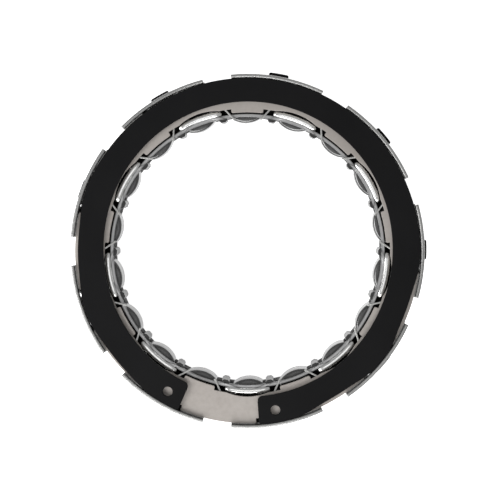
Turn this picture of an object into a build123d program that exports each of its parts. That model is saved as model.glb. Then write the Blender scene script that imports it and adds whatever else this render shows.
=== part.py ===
"""Caged sprag clutch: eighteen rocking sprags held between an outer and an inner cage.

Millimetres.  The clutch axis is Z and the rear face stands on Z = 0.  The front, with the
black retaining ring, looks along +Z.
"""

import os
from math import cos, radians, sin

from build123d import *

# --- driving dimensions -------------------------------------------------------------------

# the two races that the clutch works between, and its width
shaft_race_radius = 21.05
race_gap = 8.0
clutch_width = 13.5
bay_count = 9  # each bay of the outer cage holds two sprags

# outer cage: a thin wall with nine raised pads
rim_clearance = 0.1  # inside the housing race
rim_wall = 0.53
rim_chamfer = 0.12
pad_half_angle = 15.35
pad_height = 0.8
web_wall = 0.55
relief_depth = 2.8

# end plates
front_plate_thickness = 0.6
plate_edge_clearance = 0.22
tongue_half_angle = 6.5
tongue_length = 0.65
tongue_gap = 0.2  # from the rail of the inner cage, seen along the axis
tongue_corner = 0.25
scallop_radius = 8.8
scallop_depth = 0.45
plate_notch_depth = 0.8
plate_notch_half_angle = 7.0
rear_plate_thickness = 0.7
rear_plate_lip = 0.15  # how little of the inner rail its bore leaves uncovered
lug_height = 0.95
lug_half_angle = 3.2
lug_corner = 0.3

# retaining ring, which rests a little off the centre
ring_width = 3.89
ring_thickness = 1.0
ring_set_in = 0.36
ring_below_rim = 0.1
ring_shift = (0.15, 0.35)
ring_gap_angle = 259.65
ring_gap_half_angle = 13.7
ring_end_corner = 0.5
plier_hole_radius = 0.85
plier_hole_inset = 2.35
plier_hole_half_angle = 19.75

# inner cage: two rails, a web between neighbouring sprags, a lip over every second one
shaft_clearance = 0.35
web_depth = 0.55
inner_rail_wall = 0.55
rear_rail_height = 0.7
front_rail_height = 0.8
web_edge_share = 0.22  # of the width of a web, cut off each of its inner edges
lip_radius = 6.05
lip_wall = 0.45
lip_rise = 0.56
lip_height = 0.4

# sprags
sprag_preload = 0.05
sprag_inner_head_radius = 4.3
sprag_outer_head_radius = 4.2
sprag_head_shift = 0.3
sprag_inner_half_width = 2.65
sprag_outer_half_width = 2.5
sprag_waist_half_width = 1.5
sprag_head_flank = 0.85
sprag_corner = 0.22

# bow springs
spring_wall = 0.28
spring_height = 0.5
spring_tip_lead = 0.2  # the leg tips reach this far inside the webs
spring_tip_angle = 14.3
spring_shoulder_angle = 9.9
spring_bow_clearance = 0.3  # outside the scallops of the front plate
spring_bend = 0.5

# clearances
end_clearance = 0.1  # between what turns and the end plates
window_end_clearance = 0.2
outer_window_side_clearance = 0.25
wide_window_side_clearance = 0.32
narrow_window_side_clearance = 0.67
lug_clearance = 0.4  # degrees, each side of a lug
relief_clearance = 0.3  # degrees, each side of a plate notch

# --- places worked out from them ----------------------------------------------------------

bay_pitch = 360 / bay_count
sprag_angle = bay_pitch / 4  # sprags stand this far each side of a pad centre
narrow_start = sprag_angle
wide_start = -sprag_angle

housing_race_radius = shaft_race_radius + race_gap
rim_radius = housing_race_radius - rim_clearance
counterbore_radius = rim_radius - rim_wall
web_outer_radius = rim_radius - pad_height
web_inner_radius = web_outer_radius - web_wall
plate_radius = counterbore_radius - plate_edge_clearance
plate_notch_radius = plate_radius - plate_notch_depth
lug_radius = rim_radius + lug_height

web_reach_radius = shaft_race_radius + shaft_clearance
rail_inner_radius = web_reach_radius + web_depth
rail_outer_radius = rail_inner_radius + inner_rail_wall
lip_crown_radius = rail_outer_radius + lip_rise
tongue_radius = rail_outer_radius + tongue_gap
plate_land_radius = tongue_radius + tongue_length
scallop_reach = plate_land_radius + scallop_depth
rear_plate_bore_radius = rail_inner_radius + rear_plate_lip

ring_outer_radius = plate_radius - ring_set_in
ring_inner_radius = ring_outer_radius - ring_width
plier_hole_circle = ring_inner_radius + plier_hole_inset

front_plate_top = clutch_width - ring_below_rim - ring_thickness
front_plate_bottom = front_plate_top - front_plate_thickness
rail_bottom = rear_plate_thickness + end_clearance
rail_top = front_plate_bottom - end_clearance - spring_height
window_bottom = rail_bottom + rear_rail_height
window_height = rail_top - front_rail_height - window_bottom
sprag_bottom = window_bottom + window_end_clearance
sprag_length = window_height - 2 * window_end_clearance


def arc_band(half_angle, inner, outer, at=0):
    """Sector of a ring between two radii, centred on the angle `at`."""
    with BuildSketch(mode=Mode.PRIVATE) as band:
        with BuildLine():
            low = CenterArc((0, 0), inner, at - half_angle, 2 * half_angle)
            high = CenterArc((0, 0), outer, at - half_angle, 2 * half_angle)
            Line(low @ 0, high @ 0)
            Line(low @ 1, high @ 1)
        make_face()
    return band.sketch


def at_radius(radius):
    """Selector for the points, or the edges along Z, that lie at one radius."""
    return lambda item: abs(Vector(item.center().X, item.center().Y).length - radius) < 0.01


def round_edges(part, radius, height):
    """Circular edges of a part, or pieces of them, at one radius and height."""
    return part.edges().filter_by(GeomType.CIRCLE).filter_by(
        lambda edge: abs(edge.radius - radius) < 0.01 and abs(edge.center().Z - height) < 0.01
    )


def polar(radius, angle):
    """Point at a radius and an angle in degrees."""
    return (radius * cos(radians(angle)), radius * sin(radians(angle)))


def save(piece, name):
    piece.part.label = name
    export_step(piece.part, f"parts/{name}.step")


os.makedirs("parts", exist_ok=True)

# --- outer cage: nine pads on a thin wall, with a window for every sprag --------------------

with BuildPart() as outer_cage:
    with BuildSketch():
        Circle(web_outer_radius)
        with PolarLocations(0, bay_count):
            add(arc_band(pad_half_angle, web_inner_radius, rim_radius))
        Circle(web_inner_radius, mode=Mode.SUBTRACT)
    extrude(amount=clutch_width)
    chamfer(round_edges(outer_cage, rim_radius, clutch_width), rim_chamfer)
    # seats for the two end plates and the retaining ring
    with BuildSketch(Plane.XY.offset(front_plate_bottom)):
        Circle(counterbore_radius)
    extrude(amount=clutch_width, mode=Mode.SUBTRACT)
    with BuildSketch():
        Circle(counterbore_radius)
    extrude(amount=rear_plate_thickness, mode=Mode.SUBTRACT)
    # sprag windows
    with BuildSketch(Plane.XY.offset(window_bottom)):
        with PolarLocations(web_outer_radius, 2 * bay_count, start_angle=sprag_angle):
            window_width = 2 * (sprag_outer_half_width + outer_window_side_clearance)
            Rectangle(2 * (web_wall + pad_height), window_width)
    extrude(amount=window_height, mode=Mode.SUBTRACT)
    # oil reliefs behind the notches of the front plate
    with BuildSketch(Plane.XY.offset(front_plate_bottom - relief_depth)):
        relief_half_angle = plate_notch_half_angle + relief_clearance
        with PolarLocations(0, bay_count):
            add(arc_band(relief_half_angle, web_inner_radius - web_wall, counterbore_radius))
    extrude(amount=relief_depth, mode=Mode.SUBTRACT)
    # keyways for the lugs of the rear plate
    with BuildSketch():
        keyway_half_angle = lug_half_angle + lug_clearance
        with PolarLocations(0, bay_count):
            add(arc_band(keyway_half_angle, web_outer_radius, lug_radius))
    extrude(amount=rear_plate_thickness, mode=Mode.SUBTRACT)
save(outer_cage, "outer_cage")

# --- front plate: tongues over every second sprag, scallops over the others -----------------

with BuildPart() as front_plate:
    with BuildSketch(Plane.XY.offset(front_plate_bottom)) as front_outline:
        Circle(plate_radius)
        Circle(plate_land_radius, mode=Mode.SUBTRACT)
        with PolarLocations(0, bay_count, start_angle=narrow_start):
            add(arc_band(tongue_half_angle, tongue_radius, plate_land_radius + scallop_depth))
        with PolarLocations(scallop_reach - scallop_radius, bay_count, start_angle=wide_start):
            Circle(scallop_radius, mode=Mode.SUBTRACT)
        with PolarLocations(0, bay_count):
            add(
                arc_band(plate_notch_half_angle, plate_notch_radius, rim_radius),
                mode=Mode.SUBTRACT,
            )
        tongue_tips = front_outline.vertices().filter_by(at_radius(tongue_radius))
        fillet(tongue_tips, tongue_corner)
    extrude(amount=front_plate_thickness)
save(front_plate, "front_plate")

# --- rear plate: flat ring with nine lugs that key the cage to its housing -------------------

with BuildPart() as rear_plate:
    with BuildSketch() as rear_outline:
        Circle(plate_radius)
        with PolarLocations(0, bay_count):
            add(arc_band(lug_half_angle, plate_notch_radius, lug_radius))
        Circle(rear_plate_bore_radius, mode=Mode.SUBTRACT)
        lug_tips = rear_outline.vertices().filter_by(at_radius(lug_radius))
        fillet(lug_tips, lug_corner)
    extrude(amount=rear_plate_thickness)
save(rear_plate, "rear_plate")

# --- retaining ring: open ring with two holes for circlip pliers ----------------------------

with BuildPart() as retaining_ring:
    ring_plane = Plane.XY.offset(front_plate_top).move(Location(ring_shift + (0,)))
    with BuildSketch(ring_plane) as ring_outline:
        Circle(ring_outer_radius)
        Circle(ring_inner_radius, mode=Mode.SUBTRACT)
        add(
            arc_band(
                ring_gap_half_angle,
                ring_inner_radius - ring_width,
                ring_outer_radius + ring_width,
                ring_gap_angle,
            ),
            mode=Mode.SUBTRACT,
        )
        end_corners = ring_outline.vertices()
        fillet(end_corners, ring_end_corner)
        for side in (-1, 1):
            hole_angle = ring_gap_angle + side * plier_hole_half_angle
            with Locations(polar(plier_hole_circle, hole_angle)):
                Circle(plier_hole_radius, mode=Mode.SUBTRACT)
    extrude(amount=ring_thickness)
save(retaining_ring, "retaining_ring")

# --- inner cage: two rails, joined by a web between neighbouring sprags -----------------------

narrow_width = 2 * (sprag_inner_half_width + narrow_window_side_clearance)
wide_width = 2 * (sprag_inner_half_width + wide_window_side_clearance)
web_width = radians(2 * sprag_angle) * web_reach_radius - (narrow_width + wide_width) / 2


def pockets(depth):
    """Straight-sided pocket mouths at every sprag, `depth` deep each side of the rail."""
    with BuildSketch(mode=Mode.PRIVATE) as mouths:
        with PolarLocations(rail_inner_radius, bay_count, start_angle=narrow_start):
            Rectangle(2 * depth, narrow_width)
        with PolarLocations(rail_inner_radius, bay_count, start_angle=wide_start):
            Rectangle(2 * depth, wide_width)
    return mouths.sketch


with BuildPart() as inner_cage:
    with BuildSketch(Plane.XY.offset(rail_bottom)):
        Circle(rail_outer_radius)
        Circle(web_reach_radius, mode=Mode.SUBTRACT)
    extrude(amount=rail_top - rail_bottom)
    # the front rail bulges over every second sprag and carries a raised lip there
    lip_places = PolarLocations(
        lip_crown_radius - lip_radius, bay_count, start_angle=wide_start
    )
    with BuildSketch(Plane.XY.offset(rail_top - front_rail_height)):
        with lip_places:
            Circle(lip_radius)
        Circle(rail_inner_radius, mode=Mode.SUBTRACT)
    extrude(amount=front_rail_height)
    with BuildSketch(Plane.XY.offset(rail_top)):
        with lip_places:
            Circle(lip_radius)
            Circle(lip_radius - lip_wall, mode=Mode.SUBTRACT)
        Circle(rail_inner_radius, mode=Mode.SUBTRACT)
    extrude(amount=lip_height)
    # the webs reach further in than the rails
    with BuildSketch(Plane.XY.offset(rail_bottom)):
        add(pockets(2 * web_depth))
        Circle(rail_inner_radius, mode=Mode.INTERSECT)
    extrude(amount=clutch_width, mode=Mode.SUBTRACT)
    with BuildSketch(Plane.XY.offset(window_bottom)):
        add(pockets(lip_rise + inner_rail_wall + web_depth))
    extrude(amount=window_height, mode=Mode.SUBTRACT)
    web_tips = inner_cage.edges().filter_by(Axis.Z).filter_by(at_radius(web_reach_radius))
    chamfer(web_tips, web_edge_share * web_width)
save(inner_cage, "inner_cage")

# --- sprags: figure-of-eight section, its two heads set off to either side ---------------------

sprag_inner_crest = shaft_race_radius - sprag_preload
sprag_outer_crest = housing_race_radius + sprag_preload
mid_radius = (sprag_inner_crest + sprag_outer_crest) / 2
inner_head_centre = (-sprag_head_shift, sprag_inner_crest + sprag_inner_head_radius)
outer_head_centre = (sprag_head_shift, sprag_outer_crest - sprag_outer_head_radius)


def head_point(centre, radius, across, sign):
    """Point of a head arc at the distance `across` from the sprag's centre line."""
    return (across, centre[1] + sign * (radius**2 - (across - centre[0]) ** 2) ** 0.5)


def inner_head(across):
    return head_point(inner_head_centre, sprag_inner_head_radius, across, -1)


def outer_head(across):
    return head_point(outer_head_centre, sprag_outer_head_radius, across, 1)


with BuildPart() as sprag:
    with BuildSketch(Plane.XY.offset(sprag_bottom)) as sprag_outline:
        with BuildLine():
            ThreePointArc(
                inner_head(-sprag_inner_half_width),
                inner_head(0),
                inner_head(sprag_inner_half_width),
            )
            ThreePointArc(
                outer_head(-sprag_outer_half_width),
                outer_head(0),
                outer_head(sprag_outer_half_width),
            )
            for side in (-1, 1):
                inner_corner = inner_head(side * sprag_inner_half_width)
                outer_corner = outer_head(side * sprag_outer_half_width)
                inner_flank = (inner_corner[0], inner_corner[1] + sprag_head_flank)
                outer_flank = (outer_corner[0], outer_corner[1] - sprag_head_flank)
                Line(inner_corner, inner_flank)
                ThreePointArc(
                    inner_flank,
                    (side * sprag_waist_half_width, mid_radius),
                    outer_flank,
                )
                Line(outer_flank, outer_corner)
        make_face()
        corners_by_height = sprag_outline.vertices().sort_by(Axis.Y)
        chamfer(corners_by_height[:2] + corners_by_height[-2:], sprag_corner)
    extrude(amount=sprag_length)

for number in range(2 * bay_count):
    turn = sprag_angle + number * 2 * sprag_angle
    with BuildPart() as placed_sprag:
        add(sprag.part, rotation=(0, 0, turn - 90))
    save(placed_sprag, f"sprag_{number + 1:02d}")

# --- bow springs: each lies on the front rail and spans one lip ------------------------------

spring_bow_radius = scallop_reach + spring_bow_clearance
spring_tip_radius = web_reach_radius + spring_tip_lead

with BuildPart() as bow_spring:
    with BuildSketch(Plane.XY.offset(rail_top)):
        with BuildLine() as bow:
            middle = CenterArc(
                (0, 0), spring_bow_radius, -spring_shoulder_angle, 2 * spring_shoulder_angle
            )
            for side, end in ((-1, middle @ 0), (1, middle @ 1)):
                Line(end, polar(spring_tip_radius, side * spring_tip_angle))
            shoulders = bow.vertices().filter_by(at_radius(spring_bow_radius))
            fillet(shoulders, spring_bend)
        trace(line_width=spring_wall)
    extrude(amount=spring_height)

for number in range(bay_count):
    turn = wide_start + (number + 1) * bay_pitch
    with BuildPart() as placed_spring:
        add(bow_spring.part, rotation=(0, 0, turn))
    save(placed_spring, f"bow_spring_{number + 1}")
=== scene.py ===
import math

import bmesh
import bpy
import numpy as np
from mathutils import Matrix, Vector


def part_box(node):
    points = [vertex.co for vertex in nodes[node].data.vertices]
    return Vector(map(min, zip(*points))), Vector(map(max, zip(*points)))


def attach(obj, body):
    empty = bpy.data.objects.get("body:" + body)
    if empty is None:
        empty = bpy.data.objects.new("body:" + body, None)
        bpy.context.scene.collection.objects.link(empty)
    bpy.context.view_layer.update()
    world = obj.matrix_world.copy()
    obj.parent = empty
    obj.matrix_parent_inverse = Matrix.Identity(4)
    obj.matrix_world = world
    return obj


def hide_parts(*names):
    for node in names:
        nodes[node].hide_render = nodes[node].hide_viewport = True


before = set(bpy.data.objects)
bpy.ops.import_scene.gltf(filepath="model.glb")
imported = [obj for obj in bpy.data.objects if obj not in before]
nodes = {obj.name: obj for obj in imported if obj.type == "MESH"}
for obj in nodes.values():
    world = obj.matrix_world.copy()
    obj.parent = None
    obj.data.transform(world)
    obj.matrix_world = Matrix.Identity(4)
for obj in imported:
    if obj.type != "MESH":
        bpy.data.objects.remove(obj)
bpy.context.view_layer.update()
print("frame loaded:", len(nodes), "nodes")

millimetre = 0.001       # the shapes below are in millimetres, the materials in metres
crispAngle = 38          # edges bent by more degrees than this stay crisp

finishBasics = {
    "grainDepth": 0.00004,    # height of the fine relief in every finish
    "fineDetail": 4.0,
    "broadScale": 90,         # slow drift of the colour over a piece
    "broadDetail": 3.0,
    "noiseFrom": 0.3,         # the noise mostly lies between these two
    "noiseTo": 0.7,
    "edgeSamples": 6,
}
edgeRound = 0.00011      # radius by which the shading rounds a sharp edge


def newMaterial(name):
    material = bpy.data.materials.new(name)
    material.use_nodes = True
    tree = material.node_tree
    return material, tree, tree.nodes["Principled BSDF"]


def addNode(tree, kind, **settings):
    node = tree.nodes.new(kind)
    for key, value in settings.items():
        setattr(node, key, value)
    return node


def noiseAt(tree, scale, detail, stretch=(1, 1, 1)):
    # noise on object coordinates, stretched along the axes by the mapping
    coords = addNode(tree, "ShaderNodeTexCoord")
    mapping = addNode(tree, "ShaderNodeMapping")
    mapping.inputs["Scale"].default_value = stretch
    noise = addNode(tree, "ShaderNodeTexNoise")
    noise.inputs["Scale"].default_value = scale
    noise.inputs["Detail"].default_value = detail
    tree.links.new(coords.outputs["Object"], mapping.inputs["Vector"])
    tree.links.new(mapping.outputs["Vector"], noise.inputs["Vector"])
    return noise.outputs["Fac"]


def noiseStops(low, high):
    return [(finishBasics["noiseFrom"], low), (finishBasics["noiseTo"], high)]


def rampTo(tree, value, socket, stops):
    # colour ramp from a value to a socket; a stop is a position with a colour or a grey
    ramp = addNode(tree, "ShaderNodeValToRGB")
    elements = ramp.color_ramp.elements
    while len(elements) < len(stops):
        elements.new(0.5)
    for element, (position, tone) in zip(elements, stops):
        element.position = position
        element.color = (*tone, 1) if isinstance(tone, tuple) else (tone, tone, tone, 1)
    tree.links.new(value, ramp.inputs["Fac"])
    tree.links.new(ramp.outputs["Color"], socket)


def bumpFrom(tree, value, shader, strength, edge):
    # fine relief over a normal that the bevel node has rounded at every sharp edge
    soft = addNode(tree, "ShaderNodeBevel", samples=finishBasics["edgeSamples"])
    soft.inputs["Radius"].default_value = edge
    bump = addNode(tree, "ShaderNodeBump")
    bump.inputs["Strength"].default_value = strength
    bump.inputs["Distance"].default_value = finishBasics["grainDepth"]
    tree.links.new(soft.outputs["Normal"], bump.inputs["Normal"])
    tree.links.new(value, bump.inputs["Height"])
    tree.links.new(bump.outputs["Normal"], shader.inputs["Normal"])


# plain finishes: colour drifts from dark to light, roughness by its spread round its middle value
finishes = {
    "cageSteel": {"dark": (0.26, 0.26, 0.255), "light": (0.34, 0.34, 0.335), "metal": 1.0,
                  "roughness": 0.28, "spread": 0.07, "grain": 700, "stretch": (1, 1, 6),
                  "relief": 0.15, "edge": 0.00025},
    "plateSteel": {"dark": (0.315, 0.292, 0.272), "light": (0.355, 0.332, 0.312), "metal": 1.0,
                   "roughness": 0.60, "spread": 0.06, "grain": 1400, "stretch": (1, 1, 1),
                   "relief": 0.15, "edge": edgeRound},
    # painted highlight: the lip beads are painted far lighter than the steel of the inner cage they
    # belong to
    "lipHighlightSteel": {"dark": (0.62, 0.62, 0.61), "light": (0.74, 0.74, 0.73), "metal": 1.0,
                 "roughness": 0.20, "spread": 0.05, "grain": 1500, "stretch": (1, 1, 1),
                 "relief": 0.12, "edge": edgeRound},
    "springSteel": {"dark": (0.34, 0.34, 0.33), "light": (0.42, 0.42, 0.41), "metal": 1.0,
                    "roughness": 0.30, "spread": 0.06, "grain": 900, "stretch": (1, 1, 1),
                    "relief": 0.15, "edge": edgeRound},
    "blackRing": {"dark": (0.0030, 0.0030, 0.0033), "light": (0.0045, 0.0045, 0.0048),
                  "metal": 0.0, "roughness": 0.50, "spread": 0.07, "grain": 1200,
                  "stretch": (1, 1, 1), "relief": 0.15, "edge": edgeRound, "specular": 0.08},
    "blackOxide": {"dark": (0.0075, 0.0075, 0.0075), "light": (0.0095, 0.0092, 0.009),
                   "metal": 0.0, "roughness": 0.48, "spread": 0.03, "grain": 1200,
                   "stretch": (1, 1, 1), "relief": 0.05, "edge": edgeRound, "specular": 0.08},
}


def makeFinish(name):
    values = finishes[name]
    material, tree, shader = newMaterial(name)
    shader.inputs["Metallic"].default_value = values["metal"]
    fine = noiseAt(tree, values["grain"], finishBasics["fineDetail"], values["stretch"])
    broad = noiseAt(tree, finishBasics["broadScale"], finishBasics["broadDetail"])
    rampTo(tree, broad, shader.inputs["Base Color"], noiseStops(values["dark"], values["light"]))
    smoothest = values["roughness"] - values["spread"]
    roughest = values["roughness"] + values["spread"]
    rampTo(tree, fine, shader.inputs["Roughness"], noiseStops(smoothest, roughest))
    bumpFrom(tree, fine, shader, values["relief"], values["edge"])
    if "specular" in values:
        shader.inputs["Specular IOR Level"].default_value = values["specular"]
    return material


cageSteel = makeFinish("cageSteel")
plateSteel = makeFinish("plateSteel")
lipHighlightSteel = makeFinish("lipHighlightSteel")
springSteel = makeFinish("springSteel")
blackRing = makeFinish("blackRing")
blackOxide = makeFinish("blackOxide")


def radiusAt(tree, low, high):
    # distance from the clutch axis, mapped to 0..1 between two radii
    coords = addNode(tree, "ShaderNodeTexCoord")
    flatten = addNode(tree, "ShaderNodeVectorMath", operation="MULTIPLY")
    flatten.inputs[1].default_value = (1, 1, 0)
    reach = addNode(tree, "ShaderNodeVectorMath", operation="LENGTH")
    along = addNode(tree, "ShaderNodeMapRange")
    along.inputs["From Min"].default_value = low
    along.inputs["From Max"].default_value = high
    tree.links.new(coords.outputs["Object"], flatten.inputs[0])
    tree.links.new(flatten.outputs["Vector"], reach.inputs[0])
    tree.links.new(reach.outputs["Value"], along.inputs["Value"])
    return along.outputs["Result"]


innerCageFinish = {
    "radii": (0.0214, 0.0226),
    # painted contact shadow: the greys fall again at the rails' outer edge, beside the lip beads
    "shadedGreys": [(0.0, 0.045), (0.42, 0.055), (0.50, 0.24), (0.70, 0.40), (0.90, 0.18)],
    "roughness": (0.30, 0.46),
    "grain": 900,
    "relief": 0.15,
    "edge": 0.00016,
}


def makeInnerCageSteel():
    # the webs inside the rails are painted far darker than the rails' drawn face, which is lightest
    # across its middle and darker at its outer edge, a painted contact shadow beside the lip beads
    values = innerCageFinish
    material, tree, shader = newMaterial("innerCageSteel")
    shader.inputs["Metallic"].default_value = 1.0
    rampTo(tree, radiusAt(tree, *values["radii"]), shader.inputs["Base Color"], values["shadedGreys"])
    fine = noiseAt(tree, values["grain"], finishBasics["fineDetail"])
    rampTo(tree, fine, shader.inputs["Roughness"], noiseStops(*values["roughness"]))
    bumpFrom(tree, fine, shader, values["relief"], values["edge"])
    return material


innerCageSteel = makeInnerCageSteel()

spragFinish = {
    "faceFrom": 0.93,         # how far a face looks along the axis before it counts as an end face
    "faceTo": 0.985,
    # painted highlight: the sides grow lighter as they turn to face along the axis, on the rounded
    # end edges
    "sideHighlightGreys": [(0.0, 0.055), (0.45, 0.085), (0.9, 0.13)],
    "radii": (0.0212, 0.0228),
    # painted shade: the end faces darken with the distance from the axis, under the rails and plate
    "faceShadeGreys": [(0.0, 0.12), (0.45, 0.045), (0.8, 0.008)],
    "roughness": (0.20, 0.34),
    "grain": 600,
    "stretch": (1, 1, 8),
    "relief": 0.12,
}


def makeSpragSteel():
    # polished crests and flanks; the sides are painted lighter as they turn to face along the axis,
    # a painted highlight on the rounded end edges. The ground end faces, told by the face's own
    # normal, are painted dark, standing in for the dark surroundings they reflect, and darker still
    # with the distance from the clutch axis, a painted shade under the rails and plate
    values = spragFinish
    material, tree, shader = newMaterial("spragSteel")
    shader.inputs["Metallic"].default_value = 1.0
    coords = addNode(tree, "ShaderNodeTexCoord")
    facing = addNode(tree, "ShaderNodeSeparateXYZ")
    tree.links.new(coords.outputs["Normal"], facing.inputs["Vector"])
    upright = addNode(tree, "ShaderNodeMath", operation="ABSOLUTE")
    tree.links.new(facing.outputs["Z"], upright.inputs[0])
    mask = addNode(tree, "ShaderNodeMapRange")
    mask.inputs["From Min"].default_value = values["faceFrom"]
    mask.inputs["From Max"].default_value = values["faceTo"]
    tree.links.new(upright.outputs["Value"], mask.inputs["Value"])
    blend = addNode(tree, "ShaderNodeMix", data_type="RGBA")
    tree.links.new(mask.outputs["Result"], blend.inputs["Factor"])
    rampTo(tree, upright.outputs["Value"], blend.inputs["A"], values["sideHighlightGreys"])
    rampTo(tree, radiusAt(tree, *values["radii"]), blend.inputs["B"], values["faceShadeGreys"])
    tree.links.new(blend.outputs["Result"], shader.inputs["Base Color"])
    fine = noiseAt(tree, values["grain"], finishBasics["fineDetail"], values["stretch"])
    rampTo(tree, fine, shader.inputs["Roughness"], noiseStops(*values["roughness"]))
    bumpFrom(tree, fine, shader, values["relief"], edgeRound)
    return material


spragSteel = makeSpragSteel()


def finish(name, material):
    piece = nodes[name]
    piece.data.materials.clear()
    piece.data.materials.append(material)


finish("outer_cage", cageSteel)
finish("inner_cage", innerCageSteel)
finish("front_plate", plateSteel)
finish("rear_plate", blackOxide)
finish("retaining_ring", blackRing)
for name in nodes:
    if name.startswith("sprag_"):
        finish(name, spragSteel)
    if name.startswith("bow_spring_"):
        finish(name, springSteel)
print("materials done")


def roundAxis(reach, angle, height):
    # points from their radius, angle and height about the clutch axis, as rows of x, y, z
    grid = np.broadcast_arrays(reach * np.cos(angle), reach * np.sin(angle), height)
    return np.stack(grid, axis=-1).reshape(-1, 3)


def tubePiece(name, points, rings, around, material, body):
    # closed tube of `rings` rings with `around` points each, its two ends closed by one face each
    corner = np.arange((rings - 1) * around)
    beside = corner - corner % around + (corner + 1) % around
    faces = np.column_stack([corner, beside, beside + around, corner + around]).tolist()
    faces.append(list(range(around))[::-1])
    faces.append(list(range((rings - 1) * around, rings * around)))
    mesh = bpy.data.meshes.new(name)
    mesh.from_pydata((points * millimetre).tolist(), [], faces)
    shell = bmesh.new()
    shell.from_mesh(mesh)
    bmesh.ops.recalc_face_normals(shell, faces=shell.faces)
    shell.to_mesh(mesh)
    shell.free()
    mesh.polygons.foreach_set("use_smooth", [True] * len(mesh.polygons))
    mesh.set_sharp_from_angle(angle=math.radians(crispAngle))
    mesh.materials.append(material)
    piece = bpy.data.objects.new(name, mesh)
    bpy.context.scene.collection.objects.link(piece)
    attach(piece, body)
    return piece


spragShape = {
    "count": 18,
    "firstAngle": 10,
    "pitch": 20,              # degrees from one sprag to the next
    "innerCrest": 21.0,
    "outerCrest": 29.1,
    "innerHead": 4.3,         # radius of the inner crest's arc
    "outerHead": 4.2,
    "headShift": 0.3,         # the two arcs are set sideways by this, one each way
    "innerHalfWidth": 2.65,
    "outerHalfWidth": 2.5,
    "waist": 1.5,
    "flank": 0.85,            # the flanks start this far from the corners
    "cornerBlend": 0.55,      # length over which a corner is blended
    "endRound": 0.42,
    "sidePoints": 40,         # points worked out on each side before blending
    "finePoints": 1200,
    "points": 132,            # points kept
    "roundSteps": 5,
}


def spragOutline(shape):
    # head arcs joined by flanks that draw in to the waist as a parabola, then resampled evenly and
    # averaged over a short length, which rounds the four corners
    count = shape["sidePoints"]
    innerAcross = np.linspace(-shape["innerHalfWidth"], shape["innerHalfWidth"], count)
    innerCentre = shape["innerCrest"] + shape["innerHead"]
    inner = innerCentre - np.sqrt(shape["innerHead"] ** 2 - (innerAcross + shape["headShift"]) ** 2)
    outerAcross = np.linspace(shape["outerHalfWidth"], -shape["outerHalfWidth"], count)
    outerCentre = shape["outerCrest"] - shape["outerHead"]
    outer = outerCentre + np.sqrt(shape["outerHead"] ** 2 - (outerAcross - shape["headShift"]) ** 2)
    middle = (shape["innerCrest"] + shape["outerCrest"]) / 2

    def flank(side, low, high):
        height = np.linspace(low, high, count)
        below = (height - middle) / (low - middle)
        above = (height - middle) / (high - middle)
        reach = np.where(height < middle, shape["innerHalfWidth"], shape["outerHalfWidth"])
        share = np.where(height < middle, below, above) ** 2
        return side * (shape["waist"] + (reach - shape["waist"]) * share), height

    rightAcross, rightHeight = flank(1, inner[-1] + shape["flank"], outer[0] - shape["flank"])
    leftAcross, leftHeight = flank(-1, inner[0] + shape["flank"], outer[-1] - shape["flank"])
    across = np.concatenate([innerAcross, rightAcross, outerAcross, leftAcross[::-1]])
    height = np.concatenate([inner, rightHeight, outer, leftHeight[::-1]])
    outline = np.column_stack([across, height])
    closed = np.vstack([outline, outline[:1]])
    steps = np.linalg.norm(np.diff(closed, axis=0), axis=1)
    length = np.concatenate([[0], np.cumsum(steps)])
    fineCount = shape["finePoints"]
    place = np.linspace(0, length[-1], fineCount, endpoint=False)
    fine = np.column_stack([np.interp(place, length, closed[:, k]) for k in (0, 1)])
    window = int(shape["cornerBlend"] / length[-1] * fineCount)
    shifts = range(-window, window + 1)
    blended = sum(np.roll(fine, shift, axis=0) for shift in shifts) / len(shifts)
    return blended[np.linspace(0, fineCount, shape["points"], endpoint=False).astype(int)]


def makeSprag(number, outline, low, high):
    # prism on the outline; its end edges are quarter rounds, the outline drawn in along its normals
    ahead = np.roll(outline, -1, axis=0) - np.roll(outline, 1, axis=0)
    inward = np.column_stack([-ahead[:, 1], ahead[:, 0]])
    inward /= np.linalg.norm(inward, axis=1)[:, None]
    turns = np.linspace(0, math.pi / 2, spragShape["roundSteps"] + 1)
    rising = spragShape["endRound"] * (1 - np.sin(turns))
    falling = spragShape["endRound"] * (1 - np.cos(turns))
    drawnIn = np.concatenate([rising, falling])
    height = np.concatenate([low + falling, high - rising])
    rings = outline + inward * drawnIn[:, None, None]
    angle = math.radians(spragShape["firstAngle"] + spragShape["pitch"] * (number - 1))
    outwards = np.array([math.cos(angle), math.sin(angle)])
    sideways = np.array([math.sin(angle), -math.cos(angle)])
    flat = rings[..., :1] * sideways + rings[..., 1:] * outwards
    heights = np.broadcast_to(height[:, None, None], (*flat.shape[:2], 1))
    points = np.concatenate([flat, heights], axis=-1).reshape(-1, 3)
    name = f"sprag_{number:02d}"
    piece = tubePiece(name + "_ground", points, len(height), len(outline),
                      spragSteel, name)
    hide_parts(name)


spragLow, spragHigh = (corner.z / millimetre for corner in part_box("sprag_01"))
outline = spragOutline(spragShape)
for number in range(1, spragShape["count"] + 1):
    makeSprag(number, outline, spragLow, spragHigh)
print("sprags done")

lipShape = {
    "count": 9,
    "firstAngle": 30,
    "pitch": 40,              # degrees from one lip to the next
    "crown": 22.98,           # radius of the bead's middle line at its centre
    "end": 22.84,             # and at its two ends
    "halfAngle": 9.6,
    "width": 1.00,
    "low": 11.2,
    "height": 0.50,
    "squareness": 0.35,       # the smaller, the squarer the bead's section
    "tip": 0.02,              # share of the width and height left at the ends
    "stations": 49,
    "around": 20,
}


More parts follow.
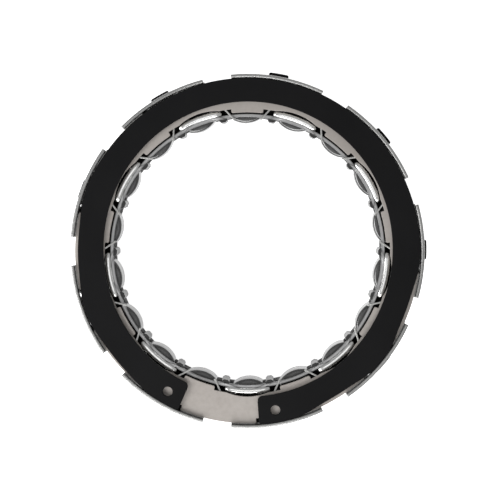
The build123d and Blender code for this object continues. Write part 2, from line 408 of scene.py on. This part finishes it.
def makeLip(number):
    # half-round bead round the clutch axis, falling a little inwards to its ends; its width and
    # height fall to the ends as an eighth-power curve
    shape = lipShape
    along = np.linspace(-1, 1, shape["stations"])[:, None]
    u = np.linspace(0, 2 * math.pi, shape["around"], endpoint=False)
    angle = np.radians(shape["firstAngle"] + shape["pitch"] * (number - 1)
                       + shape["halfAngle"] * along)
    swell = np.maximum(np.sqrt(1 - along ** 8), shape["tip"])
    middle = shape["crown"] + (shape["end"] - shape["crown"]) * along ** 2
    reach = middle + shape["width"] / 2 * swell * np.cos(u)
    rise = np.maximum(0, np.sin(u)) ** shape["squareness"]
    height = shape["low"] + shape["height"] * swell * rise
    tubePiece(f"lip_bead_{number}", roundAxis(reach, angle, height), shape["stations"],
              shape["around"], lipHighlightSteel, "inner_cage")


for number in range(1, lipShape["count"] + 1):
    makeLip(number)
print("lips done")

ringShape = {
    # outer edge: it meets its seat at the top, at the two ends and amid some pads
    "edgeAngles": (20, 60, 100, 132, 146, 158, 172, 188, 201, 214, 226, 236, 260, 288, 296, 307,
                   317, 325, 334, 346, 356),
    "edgeRadii": (28.2, 28.3, 28.28, 28.1, 28.1, 28.3, 27.66, 27.66, 28.3, 27.8, 27.85, 28.34,
                  28.34, 28.34, 27.66, 27.66, 28.34, 28.34, 27.64, 27.62, 28.25),
    "edgeBlend": 3,           # degrees each way over which the edge is averaged
    "edgeSteps": 9,
    "inner": 23.86,
    "upwards": 0.33,          # the opening sits a little off the axis
    "sidewards": 0.10,
    "oval": 0.24,             # and is pressed a little taller than it is wide
    "gapAngle": 260.15,
    "gapHalfAngle": 13.75,
    "innerCorner": 0.85,
    "outerCorner": 0.35,
    "holeCircle": 26.35,
    "holeRadius": 0.80,
    "holeAngles": (240.4, 280.0),
    "holeSides": 40,
    "endSpan": 2.4,           # degrees at each end where the stations crowd, for the corners
    "endStations": 17,
    "stations": 220,
}


def cornerInset(distance, radius):
    # how far a rounded corner draws the edge back at a distance from the end
    short = np.maximum(0, radius - distance)
    return radius - np.sqrt(radius ** 2 - short ** 2)


def makeRing():
    # flat strip carried round the axis; its two edges are radii worked out from the angle
    shape = ringShape
    low, high = (corner.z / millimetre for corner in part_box("retaining_ring"))
    start = shape["gapAngle"] + shape["gapHalfAngle"]
    sweep = 360 - 2 * shape["gapHalfAngle"]
    ends = np.linspace(0, shape["endSpan"], shape["endStations"])
    between = np.linspace(shape["endSpan"], sweep - shape["endSpan"], shape["stations"])
    along = np.concatenate([ends[:-1], between, sweep - ends[::-1][1:]])
    angle = np.radians(start + along)
    fromEnd = np.radians(np.minimum(along, sweep - along)) * shape["holeCircle"]
    inner = (shape["inner"] + shape["upwards"] * np.sin(angle)
             + shape["sidewards"] * np.cos(angle) - shape["oval"] * np.cos(2 * angle))
    inner += cornerInset(fromEnd, shape["innerCorner"])
    spread = np.linspace(-shape["edgeBlend"], shape["edgeBlend"], shape["edgeSteps"])
    nearby = (start + along)[:, None] + spread
    outer = np.interp(nearby, shape["edgeAngles"], shape["edgeRadii"], period=360).mean(axis=1)
    outer -= cornerInset(fromEnd, shape["outerCorner"])
    reach = np.column_stack([inner, outer, outer, inner])
    height = np.array([low, low, high, high])
    piece = tubePiece("ring_pressed", roundAxis(reach, angle[:, None], height), len(along), 4,
                      blackRing, "cage")
    drillRing(piece, low, high)
    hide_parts("retaining_ring")


def drillRing(piece, low, high):
    # the plier holes, cut through by round bars three times as long as the ring is thick
    bars = bmesh.new()
    for degrees in ringShape["holeAngles"]:
        angle = math.radians(degrees)
        middle = Vector((math.cos(angle), math.sin(angle), 0)) * ringShape["holeCircle"]
        middle.z = (low + high) / 2
        bmesh.ops.create_cone(bars, cap_ends=True, segments=ringShape["holeSides"],
                              radius1=ringShape["holeRadius"] * millimetre,
                              radius2=ringShape["holeRadius"] * millimetre,
                              depth=3 * (high - low) * millimetre,
                              matrix=Matrix.Translation(middle * millimetre))
    barMesh = bpy.data.meshes.new("bars")
    bars.to_mesh(barMesh)
    bars.free()
    barPiece = bpy.data.objects.new("bars", barMesh)
    bpy.context.scene.collection.objects.link(barPiece)
    cut = piece.modifiers.new("holes", "BOOLEAN")
    cut.operation = "DIFFERENCE"
    cut.solver = "EXACT"
    cut.object = barPiece
    bpy.context.view_layer.update()
    whole = piece.evaluated_get(bpy.context.evaluated_depsgraph_get())
    drilled = bpy.data.meshes.new_from_object(whole)
    piece.modifiers.remove(cut)
    piece.data = drilled
    drilled.set_sharp_from_angle(angle=math.radians(crispAngle))
    bpy.data.objects.remove(barPiece)


makeRing()
print("ring done")

floorSet = {
    "halfSize": 1.2,
    "height": -0.0001,        # just under the rear face
    "grey": 0.93,
    "roughness": 0.9,
    "glow": 0.90,
}


def makeFloor():
    reach, low = floorSet["halfSize"], floorSet["height"]
    corners = [(-reach, -reach, low), (reach, -reach, low),
               (reach, reach, low), (-reach, reach, low)]
    mesh = bpy.data.meshes.new("floor")
    mesh.from_pydata(corners, [], [(0, 1, 2, 3)])
    floor = bpy.data.objects.new("floor", mesh)
    bpy.context.scene.collection.objects.link(floor)
    material, tree, shader = newMaterial("floorPaper")
    shader.inputs["Base Color"].default_value = (*[floorSet["grey"]] * 3, 1)
    shader.inputs["Roughness"].default_value = floorSet["roughness"]
    shader.inputs["Emission Color"].default_value = (1, 1, 1, 1)
    shader.inputs["Emission Strength"].default_value = floorSet["glow"]
    mesh.materials.append(material)


lightSet = {
    "leftSoft": {"place": (-0.40, -0.15, 0.42), "target": (0, 0, 0), "size": 0.35, "watts": 2.8},
    "lowSoft": {"place": (-0.05, -0.40, 0.42), "target": (0, 0, 0), "size": 0.35, "watts": 2.4},
    "overSoft": {"place": (-0.005, -0.012, 0.50), "target": (-0.005, -0.012, 0), "size": 0.14,
                 "watts": 0.07},
    "skyStrength": 0.45,
}


def makeLights():
    for name in ("leftSoft", "lowSoft", "overSoft"):
        values = lightSet[name]
        data = bpy.data.lights.new(name, "AREA")
        data.shape = "RECTANGLE"
        data.size = data.size_y = values["size"]
        data.energy = values["watts"]
        light = bpy.data.objects.new(name, data)
        bpy.context.scene.collection.objects.link(light)
        light.location = values["place"]
        light.rotation_mode = "QUATERNION"
        beam = Vector(values["target"]) - Vector(values["place"])
        light.rotation_quaternion = beam.to_track_quat("-Z", "Y")
    world = bpy.data.worlds.new("studio")
    world.use_nodes = True
    sky = world.node_tree.nodes["Background"]
    sky.inputs["Color"].default_value = (1, 1, 1, 1)
    sky.inputs["Strength"].default_value = lightSet["skyStrength"]
    bpy.context.scene.world = world
    bpy.context.scene.view_settings.view_transform = "Standard"


cameraSet = {
    "frontFace": 0.0135,       # height of the rim's front edge
    "distance": 0.450,         # from the rim's front edge
    "across": 0.005,           # the camera stands this far off the axis
    "up": 0.011,
    "aim": (0.00044, 0.00023),
    "pictureWidth": 0.0815,    # width of the view at the front face
    "sensor": 36.0,
    "clip": (0.01, 10),
}


def makeCamera():
    data = bpy.data.cameras.new("camera")
    data.sensor_width = cameraSet["sensor"]
    data.lens = cameraSet["sensor"] * cameraSet["distance"] / cameraSet["pictureWidth"]
    data.clip_start, data.clip_end = cameraSet["clip"]
    camera = bpy.data.objects.new("camera", data)
    bpy.context.scene.collection.objects.link(camera)
    face = cameraSet["frontFace"]
    camera.location = (cameraSet["across"], cameraSet["up"], face + cameraSet["distance"])
    # turned to its aim, with +Y upwards in the view
    back = (camera.location - Vector((*cameraSet["aim"], face))).normalized()
    right = Vector((0, 1, 0)).cross(back).normalized()
    upward = back.cross(right)
    camera.rotation_mode = "QUATERNION"
    camera.rotation_quaternion = Matrix((right, upward, back)).transposed().to_quaternion()
    bpy.context.scene.camera = camera


makeFloor()
makeLights()
makeCamera()
print("stage done")
